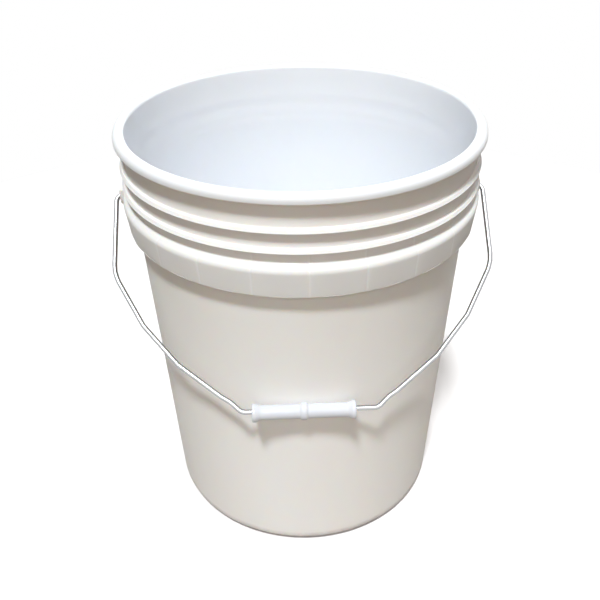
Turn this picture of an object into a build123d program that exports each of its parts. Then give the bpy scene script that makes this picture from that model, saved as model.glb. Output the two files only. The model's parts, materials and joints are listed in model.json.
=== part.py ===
from build123d import *
import math
import os

# Rim bead that a lid pushes over, on a straight neck
rim_radius = 151.0
rim_depth = 6.9
rim_overhang = 6.0
rim_outer_round = 4.5
rim_inner_round = 2.5
rim_lower_round = 1.0

# Pail shell: a tapered wall on a raised floor; at the top its line lies inside the neck's
pail_height = 370.0
base_radius = 129.9
neck_proud = 0.9
wall_thickness = 2.3
floor_thickness = 2.5
floor_lift = 3.0
floor_step_angle = 45.0
foot_ring_width = 16.0
base_edge_round = 8.0

# Two stiffening ribs with a level top and a sloping face, measured down from the top of the rim
rib_setback = 2.0
rib_thickness = 3.1
rib_face_angle = 30.0
rib_root_round = 0.8
rib_edge_round = 0.8
rib_lip_round = 0.4
upper_rib_drop = 26.25
lower_rib_drop = 41.85

# Hollow skirt below the ribs: a sloping top, a face that leans in, open underneath and stiffened by gussets
skirt_setback = 0.4
skirt_drop = 53.4
skirt_height = 26.9
skirt_top_angle = 40.0
skirt_lean_angle = 5.0
skirt_thickness = 2.3
skirt_top_round = 4.8
gussets_per_side = 11
gusset_thickness = 2.0
gusset_recess = 1.5
ear_free_angle = 10.0

# Bail ears: two pads on the skirt with a hole for the wire
hinge_drop = 65.9
ear_half_width = 8.0
ear_proud = 3.9
ear_edge_round = 1.0

# Bail wire, drawn in its own plane from the hinge line
wire_diameter = 4.0
hinge_clearance = 0.25
arm_clearance = 2.1
pin_bend_radius = 6.0
head_overlap = 0.65
head_thickness = 1.8
head_gap = 0.8
shoulder_drop = 70.0
shoulder_bend_radius = 30.0
bow_rise = 22.8
bow_bend_share = 0.88
jog_width = 8.4
jog_depth = 8.0
jog_bend_radius = 10.0
straight_bend_radius = 8.0
bail_reach = 190.5

# Grip tube, loose on the straight middle of the wire
grip_length = 83.0
grip_wall = 2.5
grip_bore_clearance = 1.4
grip_hang_gap = 0.3
grip_end_room = 13.1
grip_side_shift = -5.0
grip_wall_gap = 0.4
grip_end_rise = 1.7
grip_end_width = 2.6
grip_end_round_share = 0.4
grip_flare_length = 4.0
grip_ring_rise = 1.3
grip_ring_width = 3.6
grip_ring_slope = 1.6

inside_round = 1.5
lip_round = 0.6

# Worked-out sizes
neck_radius = rim_radius - rim_overhang
wall_slope = (neck_radius - neck_proud - base_radius) / pail_height
wall_draft = math.atan(wall_slope)
rim_bottom = pail_height - rim_depth
rib_radius = rim_radius - rib_setback
skirt_radius = rim_radius - skirt_setback
skirt_top = pail_height - skirt_drop
skirt_bottom = skirt_top - skirt_height
skirt_fall = math.tan(math.radians(skirt_top_angle))
skirt_lean = math.tan(math.radians(skirt_lean_angle))
skirt_corner = skirt_top - (skirt_radius - neck_radius) * skirt_fall
hinge_height = pail_height - hinge_drop
ear_face = skirt_radius + ear_proud
wire_radius = wire_diameter / 2
hole_radius = wire_radius + hinge_clearance
bore_radius = wire_radius + grip_bore_clearance
grip_radius = bore_radius + grip_wall
grip_end_radius = grip_radius + grip_end_rise
grip_ring_radius = grip_radius + grip_ring_rise


def outer_radius(height):
    return base_radius + wall_slope * height


def inner_radius(height):
    return outer_radius(height) - wall_thickness


def skirt_face(height, depth):
    """Radius at this depth under the skirt's leaning face."""
    below_face = depth / math.cos(math.radians(skirt_lean_angle))
    return skirt_radius - (skirt_corner - height) * skirt_lean - below_face


def skirt_bend(depth):
    """Where lines at this depth under the skirt's sloping top and its face meet."""
    below_top = depth / math.cos(math.radians(skirt_top_angle))
    below_face = depth / math.cos(math.radians(skirt_lean_angle))
    height = skirt_corner + (below_face * skirt_fall - below_top) / (1 + skirt_lean * skirt_fall)
    return skirt_face(height, depth), height


def skirt_root(depth, wall_depth):
    """Where a line at this depth under the skirt's sloping top meets one at a depth in the wall."""
    below_top = depth / math.cos(math.radians(skirt_top_angle))
    reach = skirt_radius - (base_radius - wall_depth)
    height = (skirt_corner + reach * skirt_fall - below_top) / (1 + wall_slope * skirt_fall)
    return outer_radius(height) - wall_depth, height


def unzip_corners(corners):
    """Splits (across, along, round) corners into points and their rounding radii."""
    points = [(across, along) for across, along, corner_round in corners]
    rounds = [corner_round for across, along, corner_round in corners]
    return points, rounds


def with_mirror_image(half_corners):
    """Adds the same corners on the other side, in the reverse order."""
    return half_corners + [(-across, along, bend) for across, along, bend in reversed(half_corners)]


# Half section of the pail, from the middle of the underside round to the middle of the floor
def rib_corners(top):
    bottom = top - rib_thickness
    face_top = rib_radius - rib_thickness * math.tan(math.radians(rib_face_angle))
    return [
        (neck_radius, bottom, rib_root_round),
        (rib_radius, bottom, rib_lip_round),
        (face_top, top, rib_edge_round),
        (neck_radius, top, rib_root_round),
    ]


step_run = floor_lift / math.tan(math.radians(floor_step_angle))
step_shift = floor_thickness * math.tan(math.radians(floor_step_angle / 2))
step_round = floor_thickness / 2
recess_radius = base_radius - foot_ring_width
floor_top = floor_lift + floor_thickness

underside_corners = [
    (0, floor_lift, 0),
    (recess_radius - step_run, floor_lift, step_round),
    (recess_radius, 0, step_round),
    (base_radius, 0, base_edge_round),
]
skirt_corners = [
    (*skirt_root(skirt_thickness, 0), inside_round),
    (*skirt_bend(skirt_thickness), skirt_top_round - skirt_thickness),
    (skirt_face(skirt_bottom, skirt_thickness), skirt_bottom, 0),
    (skirt_face(skirt_bottom, 0), skirt_bottom, lip_round),
    (skirt_radius, skirt_corner, skirt_top_round),
    (neck_radius, skirt_top, inside_round),
]
rim_corners = [
    (neck_radius, rim_bottom, inside_round),
    (rim_radius, rim_bottom, rim_lower_round),
    (rim_radius, pail_height, rim_outer_round),
    (inner_radius(pail_height), pail_height, rim_inner_round),
]
inside_corners = [
    (inner_radius(floor_thickness), floor_thickness, base_edge_round - wall_thickness),
    (recess_radius + step_shift, floor_thickness, step_round),
    (recess_radius - step_run + step_shift, floor_top, step_round),
    (0, floor_top, 0),
]
pail_points, pail_rounds = unzip_corners(
    underside_corners
    + skirt_corners
    + rib_corners(pail_height - lower_rib_drop)
    + rib_corners(pail_height - upper_rib_drop)
    + rim_corners
    + inside_corners
)

# Each gusset runs from the middle of the wall to the middle of the skirt
gusset_low = skirt_bottom + gusset_recess
gusset_points = [
    (outer_radius(gusset_low) - wall_thickness / 2, gusset_low),
    (skirt_face(gusset_low, skirt_thickness / 2), gusset_low),
    skirt_bend(skirt_thickness / 2),
    skirt_root(skirt_thickness / 2, wall_thickness / 2),
]
gusset_pitch = (180 - 2 * ear_free_angle) / (gussets_per_side - 1)
gusset_planes = [
    Plane.XZ.rotated((0, 0, first_turn + step * gusset_pitch))
    for first_turn in (ear_free_angle, 180 + ear_free_angle)
    for step in range(gussets_per_side)
]

skirt_inside = skirt_face(hinge_height, skirt_thickness)
ear_root = skirt_face(hinge_height, skirt_thickness / 2)
ear_rise = skirt_corner - hinge_height
ear_planes = [
    Plane(origin=(side * ear_root, 0, hinge_height), x_dir=(0, side, 0), z_dir=(side, 0, 0))
    for side in (1, -1)
]

with BuildPart() as pail:
    with BuildSketch(Plane.XZ):
        with BuildLine():
            FilletPolyline(pail_points, radius=pail_rounds, close=True)
        make_face()
    revolve(axis=Axis.Z)

    # Gussets, in a front and a back row that leave the ears free
    with BuildSketch(*gusset_planes):
        Polygon(*gusset_points, align=None)
    extrude(amount=gusset_thickness / 2, both=True)

    # Ear pads with a countersunk hole that the wire's pin turns in
    with BuildSketch(*ear_planes):
        Circle(ear_half_width)
        with Locations((0, ear_rise / 2)):
            Rectangle(2 * ear_half_width, ear_rise)
    extrude(amount=ear_face - ear_root)
    ear_faces = pail.faces().filter_by(Axis.X).sort_by(Axis.X)
    fillet(ear_faces[0].edges() + ear_faces[-1].edges(), ear_edge_round)
    with Locations(*[plane.offset(ear_face - ear_root) for plane in ear_planes]):
        CounterSinkHole(
            radius=hole_radius,
            counter_sink_radius=hole_radius + arm_clearance,
            depth=ear_face - skirt_inside + head_gap,
        )

# At rest the grip's ring lies on the wall, and the bail hangs at this angle from the vertical
rest_distance = grip_ring_radius + grip_wall_gap
wall_distance = outer_radius(hinge_height) * math.cos(wall_draft)
rest_angle = math.asin((wall_distance + rest_distance) / bail_reach) - wall_draft
reach_direction = Vector(0, -math.sin(rest_angle), -math.cos(rest_angle))
hinge_middle = Vector(0, 0, hinge_height)
bail_plane = Plane(
    origin=hinge_middle,
    x_dir=(1, 0, 0),
    z_dir=Vector(1, 0, 0).cross(reach_direction),
)

# Half of the wire's centreline: x across the pail, y away from the hinge line
pin_end = skirt_inside - head_gap - head_thickness
arm_half_span = ear_face + arm_clearance + wire_radius
straight_half_width = grip_length / 2 + grip_end_room
shoulder = Vector(arm_half_span, shoulder_drop)
jog = Vector(straight_half_width + jog_width, bail_reach - jog_depth)
chord = jog - shoulder
bow_corner = (shoulder + jog) / 2 + Vector(chord.Y, -chord.X).normalized() * bow_rise
bow_run = bow_corner - shoulder
bow_turn = bow_run.get_angle(jog - bow_corner)
bow_radius = bow_bend_share * bow_run.length / math.tan(math.radians(bow_turn / 2))

half_wire_corners = [
    (arm_half_span, 0, pin_bend_radius),
    (shoulder.X, shoulder.Y, shoulder_bend_radius),
    (bow_corner.X, bow_corner.Y, bow_radius),
    (jog.X, jog.Y, jog_bend_radius),
    (straight_half_width, bail_reach, straight_bend_radius),
]
wire_points, wire_bends = unzip_corners(with_mirror_image(half_wire_corners))

# Half section of the upset head on the end of each pin
head_radius = hole_radius + head_overlap
head_corners = [
    (pin_end, 0, 0),
    (pin_end, head_radius, lip_round),
    (pin_end + head_thickness, head_radius, lip_round),
    (pin_end + head_thickness, 0, 0),
]
head_points, head_rounds = unzip_corners(head_corners)
head_planes = [Plane(origin=hinge_middle, x_dir=(side, 0, 0), z_dir=(0, -side, 0)) for side in (1, -1)]

with BuildPart() as bail:
    with BuildLine(bail_plane) as wire_line:
        FilletPolyline((pin_end, 0), *wire_points, (-pin_end, 0), radius=wire_bends)
    with BuildSketch(Plane(origin=wire_line.line @ 0, z_dir=wire_line.line % 0)):
        Circle(wire_radius)
    sweep()
    with BuildSketch(*head_planes):
        with BuildLine():
            FilletPolyline(head_points, radius=head_rounds, close=True)
        make_face()
    revolve(axis=Axis(hinge_middle, (1, 0, 0)))

# Half section of the grip along the wire: flared ends and a ring in the middle
grip_half = grip_length / 2
end_round = grip_end_round_share * grip_end_width
ring_half = grip_ring_width / 2
half_grip_corners = [
    (grip_half, bore_radius, 0),
    (grip_half, grip_end_radius, end_round),
    (grip_half - grip_end_width, grip_end_radius, end_round),
    (grip_half - grip_end_width - grip_flare_length, grip_radius, grip_flare_length),
    (ring_half + grip_ring_slope, grip_radius, grip_ring_slope),
    (ring_half, grip_ring_radius, grip_ring_slope),
]
grip_points, grip_rounds = unzip_corners(with_mirror_image(half_grip_corners))

# The loose grip hangs on the wire, so its own axis lies a little below the wire's
wire_middle = hinge_middle + reach_direction * bail_reach + Vector(grip_side_shift, 0, 0)
grip_middle = wire_middle - Vector(0, 0, grip_bore_clearance - grip_hang_gap)

with BuildPart() as grip:
    with BuildSketch(Plane(origin=grip_middle, x_dir=(1, 0, 0), z_dir=(0, -1, 0))):
        with BuildLine():
            FilletPolyline(grip_points, radius=grip_rounds, close=True)
        make_face()
    revolve(axis=Axis(grip_middle, (1, 0, 0)))

os.makedirs("parts", exist_ok=True)
pail.part.label = "pail"
bail.part.label = "bail"
grip.part.label = "grip"
export_step(pail.part, "parts/pail.step")
export_step(bail.part, "parts/bail.step")
export_step(grip.part, "parts/grip.step")
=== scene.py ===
import json
import math

import bpy
from mathutils import Matrix, Quaternion, Vector


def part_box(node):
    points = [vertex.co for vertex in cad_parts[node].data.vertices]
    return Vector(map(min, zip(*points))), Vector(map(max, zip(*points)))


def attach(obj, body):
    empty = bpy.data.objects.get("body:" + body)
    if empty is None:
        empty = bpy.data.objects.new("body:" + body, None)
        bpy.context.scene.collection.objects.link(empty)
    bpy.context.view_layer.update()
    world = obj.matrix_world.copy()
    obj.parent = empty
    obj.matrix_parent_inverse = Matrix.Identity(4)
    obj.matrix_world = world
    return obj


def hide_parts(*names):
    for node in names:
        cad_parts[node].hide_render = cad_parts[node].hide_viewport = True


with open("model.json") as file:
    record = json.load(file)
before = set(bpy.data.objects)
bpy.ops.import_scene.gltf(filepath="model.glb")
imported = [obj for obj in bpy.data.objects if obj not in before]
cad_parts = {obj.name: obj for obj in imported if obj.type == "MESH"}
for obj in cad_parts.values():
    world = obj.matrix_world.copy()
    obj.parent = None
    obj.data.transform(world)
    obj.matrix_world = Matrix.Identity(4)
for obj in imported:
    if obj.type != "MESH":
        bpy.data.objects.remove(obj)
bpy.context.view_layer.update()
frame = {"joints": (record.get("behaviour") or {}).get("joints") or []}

# Sizes and places that the frame gives, in metres
pail_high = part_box("pail")[1]
bail_low, bail_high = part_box("bail")
grip_low, grip_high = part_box("grip")
joint_places = {joint["name"]: Vector(joint["pos_m"]) for joint in frame["joints"]}
hinge_middle = joint_places["bail_swing"]
grip_middle = joint_places["grip_spin"]
pail_height = pail_high.z
rim_radius = pail_high.y
ear_face = pail_high.x
grip_length = grip_high.x - grip_low.x
grip_end_radius = (grip_high.z - grip_low.z) / 2

# Pail shell: a tapered wall on a raised floor, with a straight neck and a rim bead at the top
rim_overhang = 0.006
rim_depth = 0.0069
rim_outer_round = 0.0045
rim_inner_round = 0.0025
rim_lower_round = 0.001
base_radius = 0.1299
neck_proud = 0.0009
wall_thickness = 0.0023
floor_thickness = 0.0025
floor_lift = 0.003
floor_step_angle = 45.0
foot_ring_width = 0.016
base_edge_round = 0.008
gate_radius = 0.004
gate_tip_radius = 0.0024
gate_height = 0.0012
gate_round = 0.00036

# Ribs and skirt, measured down from the top of the rim
rib_setback = 0.002
rib_thickness = 0.0031
rib_face_angle = 30.0
rib_root_round = 0.0008
rib_edge_round = 0.0008
rib_bead_height = 0.001
rib_bead_proud = 0.0004
rib_bead_round = 0.0004
rib_bead_root_round = 0.0001
upper_rib_drop = 0.02625
lower_rib_drop = 0.04185
skirt_setback = 0.0004
skirt_drop = 0.0534
skirt_height = 0.0269
skirt_top_angle = 40.0
skirt_lean_angle = 5.0
skirt_thickness = 0.0023
skirt_top_round = 0.0048
inside_round = 0.0015
lip_round = 0.0006
lip_inner_round = 0.0003
gussets_per_side = 11
gusset_thickness = 0.002
gusset_recess = 0.0015
ear_free_angle = 10.0
ear_half_width = 0.008
ear_edge_round = 0.001
hole_radius = 0.00225
countersink_radius = 0.00435
countersink_angle = 82.0

# Marks that shrinking plastic leaves: ribs draw the inside of the wall in, gussets dent the skirt
# and have pale highlight lines painted over them, and between the gussets the skirt hangs in a little
rib_pull = 0.00025
rib_pull_width = 0.0042
rib_pull_reach = 0.0126
gusset_dent = 0.0003
gusset_dent_width = 0.001
gusset_highlight_width = 0.0006
skirt_slack = 0.0008
slack_depth = 0.003

# Waves in the wall: slow ones round the pail, and shorter ones that also climb it
wave_depth = 0.00004
slow_waves_round = 2
slow_wave_start = 0.8
short_waves_round = 5
short_wave_climb = 0.06
wall_margin = 0.00015

# Bail wire, in its own plane
wire_radius = 0.002
pin_bend_radius = 0.006
head_radius = 0.0029
head_thickness = 0.0018
head_gap = 0.0008
head_round = 0.0006
head_root_round = 0.0002
shoulder_drop = 0.070
shoulder_bend_radius = 0.030
bow_rise = 0.0228
bow_bend_share = 0.88
jog_width = 0.0084
jog_depth = 0.008
jog_bend_radius = 0.010
straight_half_width = 0.0546
straight_bend_radius = 0.008

# Grip tube
bore_radius = 0.0034
bore_edge_round = 0.0006
grip_radius = 0.0059
grip_ring_radius = 0.0072
grip_end_width = 0.0026
grip_flare_length = 0.004
grip_ring_width = 0.0036
grip_ring_slope = 0.0016
grip_end_round = 0.00104
seam_turns = (90, 270)
seam_height = 0.00012
seam_width = 0.0003

# Fineness of the meshes
round_step = math.radians(12)
column_step = 2.0
dent_columns = (-0.75, -0.5, -0.25, 0.25, 0.5, 0.75)
row_step = 0.008
fine_row_step = 0.0015
ear_bottom_steps = 24
ear_edge_steps = 6
hole_sides = 48
hole_overrun = 0.001
wire_sides = 28
wire_step = 0.004
grip_step = 0.003
grip_column_step = 5.0
seam_columns = (-4, -3, -2, -1, 1, 2, 3, 4)
pail_sharp_angle = 35.0
wire_sharp_angle = 50.0
grip_sharp_angle = 50.0

# Plastic: colours are linear red, green and blue, and scales count grains to the metre
waxy_shine = 0.0
plastic_glow_reach = (0.003, 0.0022, 0.0015)
peel_detail = 1.5
flow_stretch = (1.0, 1.0, 0.3)
flow_detail = 3.0
flow_limits = (0.3, 0.7)
scratch_scale = 1400.0
upright_stretch = (1.0, 1.0, 0.03)
level_stretch = (0.02, 0.02, 1.0)
scratch_limits = (0.70, 0.78)
scratch_fade = 0.25
scratched_plastic = (0.9, 0.9, 0.88)
smudge_scale = 22.0
smudge_detail = 4.0
smudge_roughness = 0.6
smudge_limits = (0.45, 0.75)
smudge_share = 0.6
# Pale lines painted over the gussets as a highlight
gusset_painted_highlight = (0.985, 0.975, 0.965)
# A dark grey painted as shade round the foot, with scuff grain in it
shaded_scuffed_plastic = (0.32, 0.312, 0.308)
foot_shade_height = 0.012
shade_scuff_scale = 90.0
shade_scuff_detail = 4.0
shade_scuff_limits = (0.3, 0.6)
shade_scuff_shares = (0.5, 1.0)

# Faces within the wall that look down more than this keep the outside finish
underside_facing = -0.3

# Zinc plating
zinc_bright = (0.52, 0.53, 0.54)
zinc_dull = (0.4, 0.405, 0.41)
zinc_edge = (0.15, 0.15, 0.16)
zinc_gloss = (0.3, 0.42)
dull_patch_scale = 160.0
dull_patch_detail = 4.0
dull_patch_roughness = 0.65
dull_patch_limits = (0.35, 0.7)
drawn_line_scale = 1500.0
drawn_line_stretch = (1.0, 1.0, 0.01)
drawn_line_depth = 0.000004

# Floor and light
floor_radius = 0.9
floor_sides = 96
floor_gap = 0.0002
floor_bounce = (0.32, 0.283, 0.25)
floor_shown = (1.0, 0.97, 0.96)
sky_light = (0.075, 0.07, 0.06)
sky_shown = (1.0, 1.0, 1.0)
light_bounces = 10
key_strength = 3.0
key_colour = (0.94, 0.98, 1.0)
key_spread = 7.0
key_heading = Vector((0.107, 0.401, -0.910))
fill_strength = 0.5
fill_colour = (1.0, 0.9, 0.77)
fill_spread = 80.0
fill_heading = Vector((0.0, 0.955, -0.3))
back_strength = 0.8
back_colour = (0.97, 0.985, 1.0)
back_spread = 60.0
back_heading = Vector((-0.5, -0.35, -0.79))
rear_strength = 1.5
rear_colour = (0.94, 0.97, 1.0)
rear_spread = 40.0
rear_heading = Vector((0.0, -0.999, -0.04))
low_power = 15.0
low_colour = (0.93, 0.9, 1.0)
low_spread = 22.0
low_size = 0.2
low_place = Vector((-0.03, -0.95, 0.85))
low_aim = Vector((0.0, -0.13, 0.06))

# Camera
camera_place = Vector((-0.0207, -0.5702, 0.5717))
camera_aim = Vector((-0.0021, 0.0001, 0.1885))
camera_roll = -0.89
camera_sensor = 36.0
camera_lens = 43.05
camera_nearest = 0.01
camera_farthest = 100.0

# Worked-out sizes
neck_radius = rim_radius - rim_overhang
wall_slope = (neck_radius - neck_proud - base_radius) / pail_height
foot_ring_inside = base_radius - foot_ring_width
rib_radius = rim_radius - rib_setback
upper_rib_top = pail_height - upper_rib_drop
lower_rib_top = pail_height - lower_rib_drop
skirt_radius = rim_radius - skirt_setback
skirt_top = pail_height - skirt_drop
skirt_bottom = skirt_top - skirt_height
skirt_fall = math.tan(math.radians(skirt_top_angle))
skirt_lean = math.tan(math.radians(skirt_lean_angle))
skirt_corner = skirt_top - (skirt_radius - neck_radius) * skirt_fall
gusset_row_angle = 180 - 2 * ear_free_angle
gusset_pitch = gusset_row_angle / (gussets_per_side - 1)
gusset_turns = [
    side_turn + ear_free_angle + step * gusset_pitch
    for side_turn in (0, 180)
    for step in range(gussets_per_side)
]


def wall_radius(height):
    return base_radius + wall_slope * height


def within_wall(radius, height):
    """True from the middle of the wall's thickness inwards."""
    return radius < wall_radius(height) - wall_thickness / 2


def skirt_face(height, depth):
    """Radius at this depth under the skirt's leaning face."""
    below_face = depth / math.cos(math.radians(skirt_lean_angle))
    return skirt_radius - (skirt_corner - height) * skirt_lean - below_face


def skirt_bend(depth):
    """Where lines at this depth under the skirt's sloping top and its face meet."""
    below_top = depth / math.cos(math.radians(skirt_top_angle))
    below_face = depth / math.cos(math.radians(skirt_lean_angle))
    height = skirt_corner + (below_face * skirt_fall - below_top) / (1 + skirt_lean * skirt_fall)
    return skirt_face(height, depth), height


def skirt_root(depth, wall_depth):
    """Where a line at this depth under the skirt's sloping top meets one at a depth in the wall."""
    below_top = depth / math.cos(math.radians(skirt_top_angle))
    reach = skirt_radius - (base_radius - wall_depth)
    height = (skirt_corner + reach * skirt_fall - below_top) / (1 + wall_slope * skirt_fall)
    return wall_radius(height) - wall_depth, height


def skirt_depth(radius, height):
    """How deep a place lies under the skirt's sloping top or its face, whichever is nearer."""
    below_top = skirt_corner + (skirt_radius - radius) * skirt_fall - height
    below_face = skirt_face(height, 0) - radius
    return min(
        below_top * math.cos(math.radians(skirt_top_angle)),
        below_face * math.cos(math.radians(skirt_lean_angle)),
    )


def on_skirt(radius, height):
    """True near the outer surface of the skirt's top and face."""
    return -lip_round < skirt_depth(radius, height) < skirt_thickness / 2


wall_top = skirt_root(skirt_thickness, 0)[1]
pulled_rings = (
    upper_rib_top - rib_thickness / 2,
    lower_rib_top - rib_thickness / 2,
    skirt_root(skirt_thickness / 2, 0)[1],
)
skirt_inside = skirt_face(hinge_middle.z, skirt_thickness)
pin_end = skirt_inside - head_gap - head_thickness


def bell(distance, width):
    """A smooth hump: 1 in the middle, near 0 from about two widths away."""
    return math.exp(-((distance / width) ** 2))


def round_corners(corners):
    """Points along an outline of (across, along, round) corners, each round drawn as an arc."""
    spots = [Vector(corner[:2]) for corner in corners]
    points = [spots[0]]
    for before, spot, after, corner in zip(spots, spots[1:], spots[2:], corners[1:]):
        arriving = (spot - before).normalized()
        leaving = (after - spot).normalized()
        turn = -arriving.angle_signed(leaving)
        radius = corner[2]
        start = spot - arriving * radius * math.tan(abs(turn) / 2)
        arm = Vector((arriving.y, -arriving.x)) * math.copysign(radius, turn)
        steps = max(1, math.ceil(abs(turn) / round_step)) if radius else 0
        for step in range(steps + 1):
            share = step / steps if steps else 0
            points.append(start - arm + Matrix.Rotation(turn * share, 2) @ arm)
    return points + [spots[-1]]


def divide(points, spacing):
    """Adds points along an outline, so that the step from each is at most spacing(point)."""
    finer = []
    for here, there in zip(points, points[1:]):
        run = there - here
        reached = 0.0
        while reached < run.length:
            finer.append(here + run * (reached / run.length))
            reached += spacing(finer[-1])
    return finer + [points[-1]]


def skin_rings(name, rings, closed=False):
    """A mesh object over a row of rings of points; a ring of one point is a pole."""
    starts = [0]
    for ring in rings:
        starts.append(starts[-1] + len(ring))
    followers = list(range(1, len(rings))) + ([0] if closed else [])
    faces = []
    for this, following in enumerate(followers):
        for side in range(max(len(rings[this]), len(rings[following]))):
            face = []
            for ring, place_on_ring in (
                (this, side),
                (this, side + 1),
                (following, side + 1),
                (following, side),
            ):
                corner = starts[ring] + place_on_ring % len(rings[ring])
                if corner not in face:
                    face.append(corner)
            faces.append(face)
    mesh = bpy.data.meshes.new(name)
    mesh.from_pydata([point for ring in rings for point in ring], [], faces)
    mesh.validate()
    piece = bpy.data.objects.new(name, mesh)
    bpy.context.scene.collection.objects.link(piece)
    return piece


def join_tools(tools):
    """Makes one object of several that don't touch each other."""
    with bpy.context.temp_override(active_object=tools[0], selected_editable_objects=tools):
        bpy.ops.object.join()
    return tools[0]


def combine(piece, operation, tool):
    """Fuses the tool to the piece, or cuts it out, and deletes the tool."""
    change = piece.modifiers.new(operation.lower(), "BOOLEAN")
    change.operation = operation
    change.solver = "MANIFOLD"
    change.object = tool
    evaluated = piece.evaluated_get(bpy.context.evaluated_depsgraph_get())
    result = bpy.data.meshes.new_from_object(evaluated)
    piece.modifiers.clear()
    piece.data = result
    bpy.data.objects.remove(tool)


def smooth(piece, sharp_angle):
    piece.data.shade_smooth()
    piece.data.set_sharp_from_angle(angle=math.radians(sharp_angle))


# Pail
def rib_corners(top):
    """A leaning face over a thin bead along the rib's lower edge."""
    bottom = top - rib_thickness
    bead_top = bottom + rib_bead_height
    face_radius = rib_radius - rib_bead_proud
    face_top = face_radius - (top - bead_top) * math.tan(math.radians(rib_face_angle))
    return [
        (neck_radius, bottom, rib_root_round),
        (rib_radius, bottom, rib_bead_round),
        (rib_radius, bead_top, rib_bead_round),
        (face_radius, bead_top, rib_bead_root_round),
        (face_top, top, rib_edge_round),
        (neck_radius, top, rib_root_round),
    ]


def pail_corners():
    """Half section, from the gate mark under the floor round the rim to the middle of the floor."""
    step_run = floor_lift / math.tan(math.radians(floor_step_angle))
    step_shift = floor_thickness * math.tan(math.radians(floor_step_angle / 2))
    step_round = floor_thickness / 2
    floor_top = floor_lift + floor_thickness
    rim_bottom = pail_height - rim_depth
    underside = [
        (0, floor_lift - gate_height, 0),
        (gate_tip_radius, floor_lift - gate_height, gate_round),
        (gate_radius, floor_lift, gate_round),
        (foot_ring_inside - step_run, floor_lift, step_round),
        (foot_ring_inside, 0, step_round),
        (base_radius, 0, base_edge_round),
    ]
    skirt = [
        (*skirt_root(skirt_thickness, 0), inside_round),
        (*skirt_bend(skirt_thickness), skirt_top_round - skirt_thickness),
        (skirt_face(skirt_bottom, skirt_thickness), skirt_bottom, lip_inner_round),
        (skirt_face(skirt_bottom, 0), skirt_bottom, lip_round),
        (skirt_radius, skirt_corner, skirt_top_round),
        (neck_radius, skirt_top, inside_round),
    ]
    rim = [
        (neck_radius, rim_bottom, inside_round),
        (rim_radius, rim_bottom, rim_lower_round),
        (rim_radius, pail_height, rim_outer_round),
        (wall_radius(pail_height) - wall_thickness, pail_height, rim_inner_round),
    ]
    inside = [
        (wall_radius(floor_thickness) - wall_thickness, floor_thickness, base_edge_round - wall_thickness),
        (foot_ring_inside + step_shift, floor_thickness, step_round),
        (foot_ring_inside - step_run + step_shift, floor_top, step_round),
        (0, floor_top, 0),
    ]
    return underside + skirt + rib_corners(lower_rib_top) + rib_corners(upper_rib_top) + rim + inside


def row_spacing(spot):
    """Rows lie close together where the ribs draw the inside of the wall in."""
    nearest = min(abs(spot.y - ring) for ring in pulled_rings)
    if within_wall(*spot) and nearest < rib_pull_reach:
        return fine_row_step
    return row_step


def past_ear(turn):
    """Degrees round from the first gusset after the ear."""
    return (turn - ear_free_angle) % 180


def to_gusset(turn):
    """Degrees round to the nearest gusset."""
    past = past_ear(turn)
    if past > gusset_row_angle:
        return min(past - gusset_row_angle, 180 - past)
    share = past % gusset_pitch / gusset_pitch
    return min(share, 1 - share) * gusset_pitch


def slackness(turn):
    """1 midway between two gussets, 0 at a gusset and round the ears."""
    past = past_ear(turn)
    if past > gusset_row_angle:
        return 0.0
    share = past % gusset_pitch / gusset_pitch
    return 4 * share * (1 - share)


def pail_dent(spot, turn):
    """Depth of the marks and waves under the moulding's surface, or less than 0 where it stands out."""
    radius, height = spot
    if within_wall(radius, height) and height > base_edge_round:
        return -rib_pull * sum(bell(height - ring, rib_pull_width) for ring in pulled_rings)
    if height > skirt_bottom and on_skirt(radius, height):
        return gusset_dent * bell(math.radians(to_gusset(turn)) * radius, gusset_dent_width)
    if base_edge_round < height < wall_top and radius < wall_radius(height) + wall_margin:
        fade = math.sin(math.pi * (height - base_edge_round) / (wall_top - base_edge_round))
        angle = math.radians(turn)
        slow = 1 + math.sin(slow_waves_round * angle + slow_wave_start)
        short = 1 + math.sin(short_waves_round * angle - height / short_wave_climb)
        return wave_depth * fade * (slow + short)
    return 0.0


def skirt_shift(spot, turn):
    """How far the skirt's lower part hangs inwards between two gussets."""
    radius, height = spot
    hang = (skirt_corner - height) / (skirt_corner - skirt_bottom)
    if not 0 < hang <= 1 or skirt_depth(radius, height) > slack_depth:
        return 0.0
    return skirt_slack * slackness(turn) * hang


def pail_rings():
    turns = {step * column_step for step in range(round(360 / column_step))}
    turns |= {gusset_turn + offset for gusset_turn in gusset_turns for offset in (0, *dent_columns)}
    outline = divide(round_corners(pail_corners()), row_spacing)
    rings = []
    for before, spot, after in zip(outline[:1] + outline, outline, outline[1:] + outline[-1:]):
        if spot.x == 0:
            rings.append([Vector((0, 0, spot.y))])
            continue
        along = (after - before).normalized()
        ring = []
        for turn in sorted(turns):
            dent = pail_dent(spot, turn)
            radius = spot.x - skirt_shift(spot, turn) - along.y * dent
            height = spot.y + along.x * dent
            angle = math.radians(turn)
            ring.append(Vector((radius * math.cos(angle), radius * math.sin(angle), height)))
        rings.append(ring)
    return rings


def gusset(turn):
    """One plate across the hollow of the skirt, with its edges inside the wall and the skirt."""
    low = skirt_bottom + gusset_recess
    section = [
        (wall_radius(low) - wall_thickness / 2, low),
        (skirt_face(low, skirt_thickness / 2), low),
        skirt_bend(skirt_thickness / 2),
        skirt_root(skirt_thickness / 2, wall_thickness / 2),
    ]
    half = gusset_thickness / 2
    across = Matrix.Rotation(math.radians(turn), 3, "Z")
    sides = [
        [across @ Vector((radius, side, height)) for radius, height in section] for side in (half, -half)
    ]
    middles = [[sum(side, Vector()) / len(side)] for side in sides]
    return skin_rings("gusset", [middles[0], sides[0], sides[1], middles[1]])


def move_to_ear(piece, facing):
    """Lifts a piece that is made round the X axis to the hinge and turns it to one side of the pail."""
    piece.data.transform(Matrix.Translation((0, 0, hinge_middle.z)))
    piece.data.transform(Matrix.Rotation(facing, 4, "Z"))
    return piece


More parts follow.
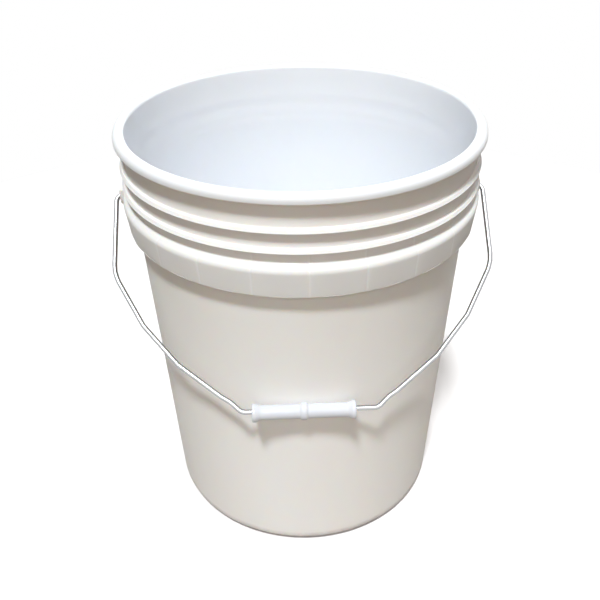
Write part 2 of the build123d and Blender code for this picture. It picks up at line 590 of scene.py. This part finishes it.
def ear_outline(inset):
    """Round at the bottom and square at the top, in (along the wall, up) from the hinge."""
    radius = ear_half_width - inset
    top = skirt_corner - hinge_middle.z - inset
    half_round = [math.pi * (1 + step / ear_bottom_steps) for step in range(ear_bottom_steps + 1)]
    low = [(radius * math.cos(angle), radius * math.sin(angle)) for angle in half_round]
    return low + [(radius, top), (-radius, top)]


def ear(facing):
    """A pad on the skirt with a rounded outer edge."""
    root = skirt_face(hinge_middle.z, skirt_thickness / 2)
    levels = [(root, 0.0)]
    for step in range(ear_edge_steps + 1):
        angle = math.pi / 2 * step / ear_edge_steps
        rise = ear_face - ear_edge_round * (1 - math.sin(angle))
        levels.append((rise, ear_edge_round * (1 - math.cos(angle))))
    rings = [[Vector((out, along, up)) for along, up in ear_outline(inset)] for out, inset in levels]
    root_middle = [Vector((root, 0, 0))]
    face_middle = [Vector((ear_face, 0, 0))]
    return move_to_ear(skin_rings("ear", [root_middle] + rings + [face_middle]), facing)


def pin_hole(facing):
    """The countersunk hole through ear and skirt, as a plug to cut out."""
    flare = math.tan(math.radians(countersink_angle / 2))
    stations = [
        (skirt_inside - hole_overrun, hole_radius),
        (ear_face - (countersink_radius - hole_radius) / flare, hole_radius),
        (ear_face + hole_overrun, countersink_radius + hole_overrun * flare),
    ]
    # Its corners lie between those of the pad, so that no two edges coincide
    angles = [2 * math.pi * (side + 0.5) / hole_sides for side in range(hole_sides)]
    rings = [[Vector((stations[0][0], 0, 0))]]
    for out, radius in stations:
        rings.append([Vector((out, radius * math.cos(angle), radius * math.sin(angle))) for angle in angles])
    rings.append([Vector((stations[-1][0], 0, 0))])
    return move_to_ear(skin_rings("pin_hole", rings), facing)


def has_lit_inside_finish(face):
    """True for the faces that hold the pail's contents, and for the rim bead: these get the cooler, paler
    copy of the plastic, painted with the cool light that falls on them.
    """
    radius = face.center.xy.length
    height = face.center.z
    holds_contents = within_wall(radius, height) and face.normal.z > underside_facing
    return holds_contents or height > pail_height - rim_depth + rim_lower_round


def mark_gusset_highlights(pail):
    """Stores how near each point of the skirt's face is to a gusset, where the plastic is thicker, as the
    mask for the painted highlight lines.
    """
    marks = pail.data.attributes.new("gusset_highlight_mask", "FLOAT", "POINT")
    for point, mark in zip(pail.data.vertices, marks.data):
        radius = point.co.xy.length
        height = point.co.z
        if height > skirt_bottom - lip_round and on_skirt(radius, height):
            turn = math.degrees(math.atan2(point.co.y, point.co.x))
            mark.value = bell(math.radians(to_gusset(turn)) * radius, gusset_highlight_width)


def make_pail(outside_finish, lit_inside_finish):
    pail = skin_rings("pail_shell", pail_rings())
    ear_sides = (0, math.pi)
    additions = [gusset(turn) for turn in gusset_turns] + [ear(facing) for facing in ear_sides]
    combine(pail, "UNION", join_tools(additions))
    combine(pail, "DIFFERENCE", join_tools([pin_hole(facing) for facing in ear_sides]))
    pail.data.materials.clear()
    pail.data.materials.append(outside_finish)
    pail.data.materials.append(lit_inside_finish)
    for face in pail.data.polygons:
        face.material_index = int(has_lit_inside_finish(face))
    mark_gusset_highlights(pail)
    smooth(pail, pail_sharp_angle)
    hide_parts("pail")
    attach(pail, "pail")


# Bail
def wire_corners():
    """Corners of the wire's middle line: across the pail, away from the hinge line, bend radius."""
    middle = (bail_low + Vector((0, wire_radius, wire_radius))) - hinge_middle
    reach = middle.yz.length
    shoulder = Vector((bail_high.x - wire_radius, shoulder_drop))
    jog = Vector((straight_half_width + jog_width, reach - jog_depth))
    chord = jog - shoulder
    bow = (shoulder + jog) / 2 + Vector((chord.y, -chord.x)).normalized() * bow_rise
    bow_turn = (bow - shoulder).angle(jog - bow)
    bow_radius = bow_bend_share * (bow - shoulder).length / math.tan(bow_turn / 2)
    half = [
        (shoulder.x, 0, pin_bend_radius),
        (*shoulder, shoulder_bend_radius),
        (*bow, bow_radius),
        (*jog, jog_bend_radius),
        (straight_half_width, reach, straight_bend_radius),
    ]
    other_half = [(-across, away, bend) for across, away, bend in reversed(half)]
    return [(pin_end, 0, 0)] + half + other_half + [(-pin_end, 0, 0)]


def wire_stations():
    """Places along the wire with their radius: an upset head, the wire, and the other head."""
    head = round_corners([
        (0, 0, 0),
        (0, head_radius, head_round),
        (head_thickness, head_radius, head_round),
        (head_thickness, wire_radius, head_root_round),
        (head_thickness + head_round, wire_radius, 0),
    ])
    line = divide(round_corners(wire_corners()), lambda spot: wire_step)
    first_head = [(Vector((pin_end + along, 0)), radius) for along, radius in head]
    last_head = [(Vector((-spot.x, 0)), radius) for spot, radius in reversed(first_head)]
    clear_of_head = pin_end + head_thickness + 2 * head_round
    body = [(spot, wire_radius) for spot in line if spot.y > 0 or abs(spot.x) > clear_of_head]
    return first_head + body + last_head


def make_bail(finish):
    """The wire, with each point's place on it as if it were straightened, for the drawn lines."""
    away = Vector((0, bail_low.y + wire_radius, bail_low.z + wire_radius - hinge_middle.z)).normalized()
    across = Vector((1, 0, 0))
    upright = across.cross(away)
    stations = wire_stations()
    spots = [spot for spot, radius in stations]
    rings = []
    straightened = []
    run = pin_end
    for number, (spot, radius) in enumerate(stations):
        before = spots[max(number - 1, 0)]
        after = spots[min(number + 1, len(spots) - 1)]
        run += (spot - before).length
        # On the flat end of a head two stations share one place, and the pin lies across the pail
        span = after - before if after != before else Vector((1, 0))
        heading = (across * span.x + away * span.y).normalized()
        sideways = upright.cross(heading)
        centre = hinge_middle + across * spot.x + away * spot.y
        sides = wire_sides if radius > 0 else 1
        angles = [2 * math.pi * side / sides for side in range(sides)]
        rings.append([
            centre + (sideways * math.cos(angle) + upright * math.sin(angle)) * radius for angle in angles
        ])
        straightened += [(radius * math.cos(angle), radius * math.sin(angle), run) for angle in angles]
    bail = skin_rings("bail_rod", rings)
    drawn = bail.data.attributes.new("straightened", "FLOAT_VECTOR", "POINT")
    drawn.data.foreach_set("vector", [coordinate for spot in straightened for coordinate in spot])
    bail.data.materials.append(finish)
    smooth(bail, wire_sharp_angle)
    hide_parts("bail")
    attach(bail, "bail")


# Grip
def grip_corners():
    """Section of the tube along the wire, from the middle of its bore out and round to the same point."""
    half = grip_length / 2
    ring_half = grip_ring_width / 2
    right = [
        (ring_half, grip_ring_radius, grip_ring_slope),
        (ring_half + grip_ring_slope, grip_radius, grip_ring_slope),
        (half - grip_end_width - grip_flare_length, grip_radius, grip_flare_length),
        (half - grip_end_width, grip_end_radius, grip_end_round),
        (half, grip_end_radius, grip_end_round),
        (half, bore_radius, bore_edge_round),
    ]
    left = [(-along, radius, corner_round) for along, radius, corner_round in reversed(right)]
    return [(0, bore_radius, 0)] + left + right + [(0, bore_radius, 0)]


def make_grip(finish):
    """The tube, with a fine seam along both sides where the mould's halves met."""
    outline = divide(round_corners(grip_corners()), lambda spot: grip_step)[:-1]
    turns = {step * grip_column_step for step in range(round(360 / grip_column_step))}
    turns |= {seam + offset for seam in seam_turns for offset in seam_columns}
    rings = []
    for spot in outline:
        ring = []
        for turn in sorted(turns):
            radius = spot.y
            if radius > (bore_radius + grip_radius) / 2:
                away = min(abs(turn - seam) for seam in seam_turns)
                radius += seam_height * bell(math.radians(away) * radius, seam_width)
            angle = math.radians(turn)
            offset = Vector((spot.x, radius * math.cos(angle), radius * math.sin(angle)))
            ring.append(grip_middle + offset)
        rings.append(ring)
    grip = skin_rings("grip_sleeve", rings, closed=True)
    grip.data.materials.append(finish)
    smooth(grip, grip_sharp_angle)
    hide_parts("grip")
    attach(grip, "grip")


# Finishes
def feed(tree, socket, value):
    """Links another node's output to a socket, or sets the socket to a plain value."""
    if isinstance(value, bpy.types.NodeSocket):
        tree.links.new(value, socket)
    else:
        socket.default_value = value


def place(tree, kind, inputs=(), **settings):
    """Adds a node with its settings and inputs."""
    node = tree.nodes.new(kind)
    for name, value in settings.items():
        setattr(node, name, value)
    for name, value in dict(inputs).items():
        feed(tree, node.inputs[name], value)
    return node


def noise(tree, vector, scale, detail=2.0, roughness=0.5):
    inputs = {"Vector": vector, "Scale": scale, "Detail": detail, "Roughness": roughness}
    return place(tree, "ShaderNodeTexNoise", inputs).outputs["Fac"]


def stretch(tree, vector, scale):
    inputs = {"Vector": vector, "Scale": scale}
    return place(tree, "ShaderNodeMapping", inputs).outputs["Vector"]


def remap(tree, value, low, high, new_low=0.0, new_high=1.0):
    inputs = {"Value": value, "From Min": low, "From Max": high, "To Min": new_low, "To Max": new_high}
    return place(tree, "ShaderNodeMapRange", inputs).outputs["Result"]


def between(tree, share, low, high):
    """A value that is low where the share is 0 and high where it is 1."""
    return remap(tree, share, 0.0, 1.0, low, high)


def calculate(tree, operation, first, second):
    node = place(tree, "ShaderNodeMath", operation=operation)
    feed(tree, node.inputs[0], first)
    feed(tree, node.inputs[1], second)
    return node.outputs["Value"]


def tint(tree, share, first, second):
    """A colour between two, given as linear red, green and blue or as another node's output."""
    mix = place(tree, "ShaderNodeMix", data_type="RGBA")
    sockets = {socket.identifier: socket for socket in (*mix.inputs, *mix.outputs)}
    feed(tree, sockets["Factor_Float"], share)
    for name, colour in (("A_Color", first), ("B_Color", second)):
        feed(tree, sockets[name], (*colour, 1.0) if isinstance(colour, tuple) else colour)
    return sockets["Result_Color"]


def new_group(name, inputs, outputs):
    """An empty node group with number sockets, and its own input and output nodes."""
    tree = bpy.data.node_groups.new(name, "ShaderNodeTree")
    for socket in inputs:
        tree.interface.new_socket(socket, in_out="INPUT", socket_type="NodeSocketFloat")
    for socket in outputs:
        tree.interface.new_socket(socket, in_out="OUTPUT", socket_type="NodeSocketFloat")
    return tree, tree.nodes.new("NodeGroupInput"), tree.nodes.new("NodeGroupOutput")


def moulded_skin_group():
    """Fine orange peel and slow upright flow streaks of moulded plastic."""
    tree, given, result = new_group("moulded_skin", ("Peel Scale", "Flow Scale"), ("Peel", "Flow"))
    spot = place(tree, "ShaderNodeTexCoord").outputs["Object"]
    peel = noise(tree, spot, given.outputs["Peel Scale"], peel_detail)
    flow = noise(tree, stretch(tree, spot, flow_stretch), given.outputs["Flow Scale"], flow_detail)
    feed(tree, result.inputs["Peel"], peel)
    feed(tree, result.inputs["Flow"], remap(tree, flow, *flow_limits))
    return tree


def handling_marks_group():
    """Thin upright scratches, rubbed rings and broad smudges left by use."""
    outputs = ("Scratches", "Smudges")
    tree, given, result = new_group("handling_marks", ("Scratch Scale", "Smudge Scale"), outputs)
    spot = place(tree, "ShaderNodeTexCoord").outputs["Object"]
    upright = noise(tree, stretch(tree, spot, upright_stretch), given.outputs["Scratch Scale"])
    level = noise(tree, stretch(tree, spot, level_stretch), given.outputs["Scratch Scale"])
    upright_lines = remap(tree, upright, *scratch_limits)
    level_lines = remap(tree, level, *scratch_limits)
    lines = calculate(tree, "MAXIMUM", upright_lines, level_lines)
    smudges = noise(tree, spot, given.outputs["Smudge Scale"], smudge_detail, smudge_roughness)
    patches = remap(tree, smudges, *smudge_limits)
    feed(tree, result.inputs["Scratches"], calculate(tree, "MULTIPLY", lines, patches))
    feed(tree, result.inputs["Smudges"], patches)
    return tree


moulded_skin = moulded_skin_group()
handling_marks = handling_marks_group()


def new_finish(name):
    finish = bpy.data.materials.new(name)
    finish.use_nodes = True
    return finish, finish.node_tree, finish.node_tree.nodes["Principled BSDF"]


def plastic_finish(name, pale, deep, glow, sheen, gloss, skin_gloss, peel_depth, peel_scale, flow_scale):
    """Waxy moulded plastic between two close tones, with a thin skin that the polished mould leaves.

    sheen is the skin's weight where it is (polished, rubbed), gloss the roughness under it.
    """
    finish, tree, shader = new_finish(name)
    skin_scales = {"Peel Scale": peel_scale, "Flow Scale": flow_scale}
    skin = place(tree, "ShaderNodeGroup", skin_scales, node_tree=moulded_skin)
    mark_scales = {"Scratch Scale": scratch_scale, "Smudge Scale": smudge_scale}
    marks = place(tree, "ShaderNodeGroup", mark_scales, node_tree=handling_marks)
    toned = tint(tree, skin.outputs["Flow"], pale, deep)
    scratches = marks.outputs["Scratches"]
    faded = between(tree, scratches, 0.0, scratch_fade)
    feed(tree, shader.inputs["Base Color"], tint(tree, faded, toned, scratched_plastic))
    smudges = between(tree, marks.outputs["Smudges"], 0.0, smudge_share)
    wear = calculate(tree, "MAXIMUM", smudges, scratches)
    feed(tree, shader.inputs["Roughness"], between(tree, wear, *gloss))
    feed(tree, shader.inputs["Coat Weight"], between(tree, wear, *sheen))
    shader.inputs["Coat Roughness"].default_value = skin_gloss
    shader.inputs["Specular IOR Level"].default_value = waxy_shine
    shader.inputs["Subsurface Weight"].default_value = glow
    shader.inputs["Subsurface Radius"].default_value = plastic_glow_reach
    shader.inputs["Subsurface Scale"].default_value = 1.0
    bump = place(tree, "ShaderNodeBump", {"Distance": peel_depth, "Height": skin.outputs["Peel"]})
    feed(tree, shader.inputs["Normal"], bump.outputs["Normal"])
    return finish


def paint_pail_light_and_scuffs(finish):
    """Painted highlight lines over the gussets on the skirt, and painted shade with scuff grain round the
    foot ring and the bottom of the wall.
    """
    tree = finish.node_tree
    paint = tree.nodes["Principled BSDF"].inputs["Base Color"]
    toned = paint.links[0].from_socket
    # Painted highlight: pale lines over the gussets on the skirt
    gusset_highlight_mask = place(tree, "ShaderNodeAttribute", attribute_name="gusset_highlight_mask").outputs["Fac"]
    highlight_lined = tint(tree, gusset_highlight_mask, toned, gusset_painted_highlight)
    spot = place(tree, "ShaderNodeTexCoord").outputs["Object"]
    height = place(tree, "ShaderNodeSeparateXYZ", {"Vector": spot}).outputs["Z"]
    flattened = {"Vector": stretch(tree, spot, (1.0, 1.0, 0.0))}
    radius = place(tree, "ShaderNodeVectorMath", flattened, operation="LENGTH").outputs["Value"]
    # Painted shade: darker towards the floor on the foot ring and the bottom of the wall, broken up by scuff
    # grain
    low = remap(tree, height, foot_shade_height, 0.0)
    on_ring = remap(tree, radius, foot_ring_inside, foot_ring_inside + foot_ring_width / 2)
    near_foot = calculate(tree, "MULTIPLY", low, on_ring)
    grain = remap(tree, noise(tree, spot, shade_scuff_scale, shade_scuff_detail), *shade_scuff_limits, *shade_scuff_shares)
    foot_shade_and_scuff = calculate(tree, "MULTIPLY", near_foot, grain)
    feed(tree, paint, tint(tree, foot_shade_and_scuff, highlight_lined, shaded_scuffed_plastic))


def zinc_finish():
    """Plated wire: fine drawn lines along it and dull patches in the plating."""
    finish, tree, shader = new_finish("zinc_plated_wire")
    run = place(tree, "ShaderNodeAttribute", attribute_name="straightened").outputs["Vector"]
    lines = noise(tree, stretch(tree, run, drawn_line_stretch), drawn_line_scale)
    clouds = noise(tree, run, dull_patch_scale, dull_patch_detail, dull_patch_roughness)
    patches = remap(tree, clouds, *dull_patch_limits)
    feed(tree, shader.inputs["Base Color"], tint(tree, patches, zinc_bright, zinc_dull))
    feed(tree, shader.inputs["Roughness"], between(tree, patches, *zinc_gloss))
    bump = place(tree, "ShaderNodeBump", {"Distance": drawn_line_depth, "Height": lines})
    feed(tree, shader.inputs["Normal"], bump.outputs["Normal"])
    shader.inputs["Metallic"].default_value = 1.0
    shader.inputs["Specular Tint"].default_value = (*zinc_edge, 1.0)
    return finish


pail_outside = plastic_finish(
    "pail_outside",
    pale=(0.94, 0.922, 0.903),
    deep=(0.905, 0.884, 0.86),
    glow=0.5,
    sheen=(0.12, 0.06),
    gloss=(0.4, 0.55),
    skin_gloss=0.08,
    peel_depth=0.00002,
    peel_scale=650.0,
    flow_scale=9.0,
)
paint_pail_light_and_scuffs(pail_outside)
# Painted light: a cooler, paler copy of the same plastic for the inside and the rim bead, standing in for
# the cool light that falls there
pail_lit_inside = plastic_finish(
    "pail_lit_inside",
    pale=(0.925, 0.939, 0.966),
    deep=(0.915, 0.93, 0.959),
    glow=0.2,
    sheen=(0.7, 0.5),
    gloss=(0.45, 0.6),
    skin_gloss=0.3,
    peel_depth=0.00003,
    peel_scale=650.0,
    flow_scale=9.0,
)
grip_white = plastic_finish(
    "grip_white",
    pale=(0.72, 0.738, 0.78),
    deep=(0.7, 0.719, 0.765),
    glow=0.3,
    sheen=(0.5, 0.3),
    gloss=(0.3, 0.45),
    skin_gloss=0.12,
    peel_depth=0.00002,
    peel_scale=1100.0,
    flow_scale=60.0,
)
make_pail(pail_outside, pail_lit_inside)
make_bail(zinc_finish())
make_grip(grip_white)


# Floor, light and camera
def seen_or_mirrored(tree):
    """1 for a look straight at a surface or by way of gloss or glass, 0 for the light it throws."""
    path = place(tree, "ShaderNodeLightPath").outputs
    seen = path["Is Camera Ray"]
    for way in ("Is Glossy Ray", "Is Transmission Ray"):
        seen = calculate(tree, "MAXIMUM", seen, path[way])
    return seen


def make_floor():
    """A wide pale disc that shows white and keeps the shadow."""
    angles = [2 * math.pi * side / floor_sides for side in range(floor_sides)]
    edge = [Vector((math.cos(angle), math.sin(angle), 0)) * floor_radius for angle in angles]
    floor = skin_rings("floor", [[Vector((0, 0, 0))], edge[::-1]])
    floor.location.z = -floor_gap
    finish, tree, shader = new_finish("pale_floor")
    shader.inputs["Roughness"].default_value = 1.0
    shader.inputs["Specular IOR Level"].default_value = 0.0
    paint = tint(tree, seen_or_mirrored(tree), floor_bounce, floor_shown)
    feed(tree, shader.inputs["Base Color"], paint)
    floor.data.materials.append(finish)


def hang_lamp(light, heading):
    """Puts a light in the scene, shining along its heading."""
    lamp = bpy.data.objects.new(light.name, light)
    lamp.rotation_mode = "QUATERNION"
    lamp.rotation_quaternion = heading.to_track_quat("-Z", "Y")
    bpy.context.scene.collection.objects.link(lamp)
    return lamp


def add_lamp(name, strength, colour, spread, heading):
    """A far light; a wider spread makes its shadows softer."""
    light = bpy.data.lights.new(name, "SUN")
    light.energy = strength
    light.color = colour
    light.angle = math.radians(spread)
    hang_lamp(light, heading)


def add_low_spot():
    """A soft spot on the lower wall."""
    light = bpy.data.lights.new("low_light", "SPOT")
    light.energy = low_power
    light.color = low_colour
    light.spot_size = math.radians(low_spread)
    light.spot_blend = 1.0
    light.shadow_soft_size = low_size
    hang_lamp(light, low_aim - low_place).location = low_place


def make_light():
    """A key from high in front, a wide fill below it, two lights behind, a low spot and a dim sky."""
    add_lamp("key_light", key_strength, key_colour, key_spread, key_heading)
    add_lamp("fill_light", fill_strength, fill_colour, fill_spread, fill_heading)
    add_lamp("back_light", back_strength, back_colour, back_spread, back_heading)
    add_lamp("rear_light", rear_strength, rear_colour, rear_spread, rear_heading)
    add_low_spot()
    world = bpy.data.worlds.new("studio")
    bpy.context.scene.world = world
    world.use_nodes = True
    tree = world.node_tree
    sky = tint(tree, seen_or_mirrored(tree), sky_light, sky_shown)
    feed(tree, tree.nodes["Background"].inputs["Color"], sky)
    # Light goes on bouncing about inside a white pail
    bpy.context.scene.cycles.diffuse_bounces = light_bounces


def make_camera():
    camera = bpy.data.objects.new("camera", bpy.data.cameras.new("camera"))
    camera.location = camera_place
    roll = Quaternion((0, 0, 1), math.radians(camera_roll))
    camera.rotation_mode = "QUATERNION"
    camera.rotation_quaternion = (camera_aim - camera_place).to_track_quat("-Z", "Y") @ roll
    camera.data.sensor_width = camera_sensor
    camera.data.lens = camera_lens
    camera.data.clip_start = camera_nearest
    camera.data.clip_end = camera_farthest
    bpy.context.scene.collection.objects.link(camera)
    bpy.context.scene.camera = camera


make_floor()
make_light()
make_camera()
bpy.context.scene.view_settings.view_transform = "Standard"
